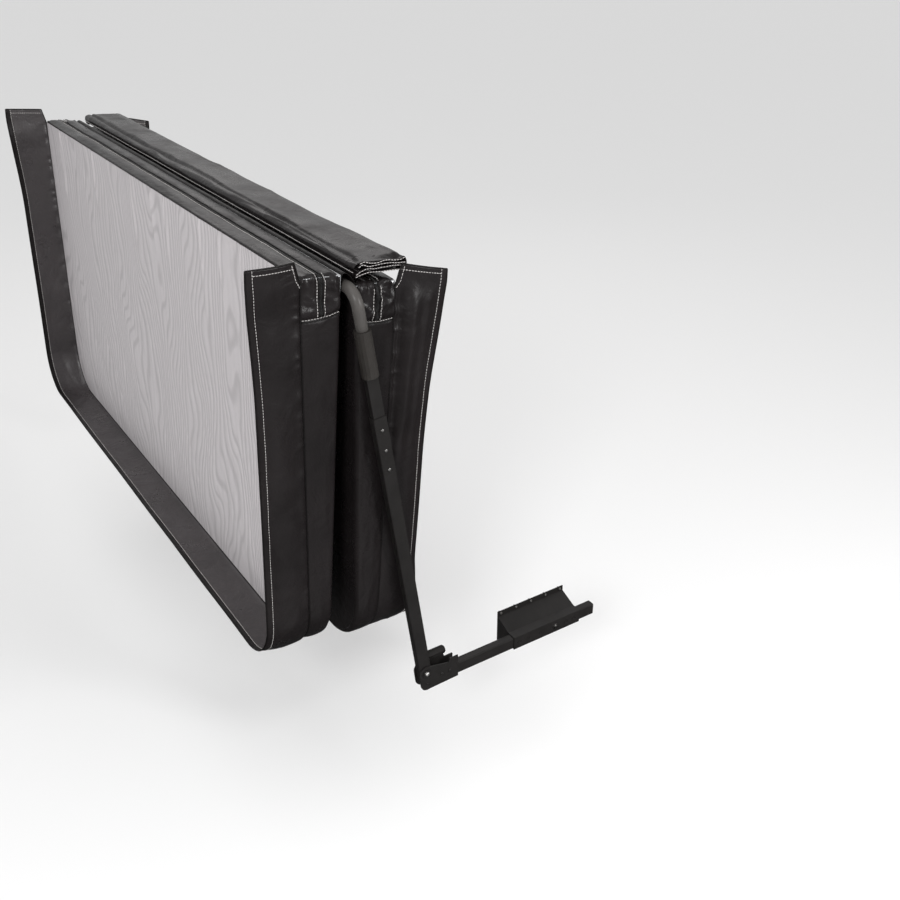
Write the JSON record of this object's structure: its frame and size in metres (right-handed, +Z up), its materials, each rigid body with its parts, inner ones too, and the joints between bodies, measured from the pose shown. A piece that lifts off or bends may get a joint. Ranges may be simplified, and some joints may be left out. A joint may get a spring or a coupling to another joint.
{
  "type": "spa cover",
  "caption": "Folding spa cover with skirted, tapered halves, parked upright on a black steel swing-arm lifter.",
  "frame": {"origin": "centre of the near bracket's wall face", "axes": "+X from the hanging cover towards the tub's other side, +Y along the fold from the near end to the far end, +Z up"},
  "size_m": [1.0813, 2.2384, 1.3605],
  "materials": {
    "lifter_steel": "satin",
    "bright_hardware": "bright zinc",
    "slider_metal": "nickel",
    "channel_steel": "galvanised",
    "black_plastic": "matte",
    "bumper_rubber": "matte",
    "cover_vinyl": "grained, semi-gloss",
    "skirt_vinyl": "grained, semi-gloss",
    "zipper_tape": "woven",
    "liner_cloth": "matte sheet",
    "foam": "foam in clear film"
  },
  "bodies": {
    "lifter_mounts": {"near_mount_bracket": "lifter_steel", "near_clamp_bolt": "bright_hardware", "near_rail_tube": "lifter_steel", "near_rail_end_cap": "black_plastic", "near_outer_pivot_plate": "lifter_steel", "near_inner_pivot_plate": "lifter_steel", "near_plate_bolt_front": "lifter_steel", "near_plate_bolt_back": "lifter_steel", "near_spacer_pin": "lifter_steel", "near_pivot_bolt": "bright_hardware", "near_pivot_nut": "bright_hardware", "near_pivot_washer": "bright_hardware", "near_stop_bumper": "bumper_rubber", "far_mount_bracket": "lifter_steel", "far_clamp_bolt": "bright_hardware", "far_rail_tube": "lifter_steel", "far_rail_end_cap": "black_plastic", "far_outer_pivot_plate": "lifter_steel", "far_inner_pivot_plate": "lifter_steel", "far_plate_bolt_front": "lifter_steel", "far_plate_bolt_back": "lifter_steel", "far_spacer_pin": "lifter_steel", "far_pivot_bolt": "bright_hardware", "far_pivot_nut": "bright_hardware", "far_pivot_washer": "bright_hardware", "far_stop_bumper": "bumper_rubber"},
    "lift_frame": {"near_lower_arm": "lifter_steel", "near_upper_arm": "lifter_steel", "near_arm_screw_top": "bright_hardware", "near_arm_screw_middle": "bright_hardware", "near_arm_screw_bottom": "bright_hardware", "near_pivot_bushing": "black_plastic", "near_coupling_sleeve": "black_plastic", "near_crossbar_bend": "lifter_steel", "far_lower_arm": "lifter_steel", "far_upper_arm": "lifter_steel", "far_arm_screw_top": "bright_hardware", "far_arm_screw_middle": "bright_hardware", "far_arm_screw_bottom": "bright_hardware", "far_pivot_bushing": "black_plastic", "far_coupling_sleeve": "black_plastic", "far_crossbar_bend": "lifter_steel", "crossbar_joiner": "lifter_steel"},
    "tub_side_half": {"tub_side_foam_core": "foam", "tub_side_steel_channel": "channel_steel", "tub_side_jacket": "cover_vinyl", "tub_side_liner": "liner_cloth", "tub_side_skirt": "skirt_vinyl", "tub_side_zipper": "zipper_tape", "hinge_strip": "skirt_vinyl", "hinge_gusset": "cover_vinyl"},
    "outer_half": {"outer_foam_core": "foam", "outer_steel_channel": "channel_steel", "outer_jacket": "cover_vinyl", "outer_liner": "liner_cloth", "outer_skirt": "skirt_vinyl", "outer_zipper": "zipper_tape"},
    "tub_side_slider": {"tub_side_zipper_slider": "slider_metal"},
    "outer_slider": {"outer_zipper_slider": "slider_metal"}
  },
  "joints": [
    {"name": "lift", "type": "hinge", "parent": "lifter_mounts", "child": "lift_frame", "pos_m": [-0.441, 1.02, 0.023], "axis": [0, 1, 0], "range_deg": [0, 69.3]},
    {"name": "tub_side_swing", "type": "hinge", "parent": "lift_frame", "child": "tub_side_half", "pos_m": [-0.60277, 1.02, 1.207], "axis": [0, 1, 0], "range_deg": [0, 17.7]},
    {"name": "fold", "type": "hinge", "parent": "tub_side_half", "child": "outer_half", "pos_m": [-0.6007, 1.02, 1.24645], "axis": [0, 1, 0], "range_deg": [0, 177.8], "deforming": ["hinge_strip", "hinge_gusset"]},
    {"name": "tub_side_zip", "type": "slide", "parent": "tub_side_half", "child": "tub_side_slider", "axis": [0, -1, 0], "range_m": [0, 2]},
    {"name": "outer_zip", "type": "slide", "parent": "outer_half", "child": "outer_slider", "axis": [0, -1, 0], "range_m": [0, 2]}
  ]
}
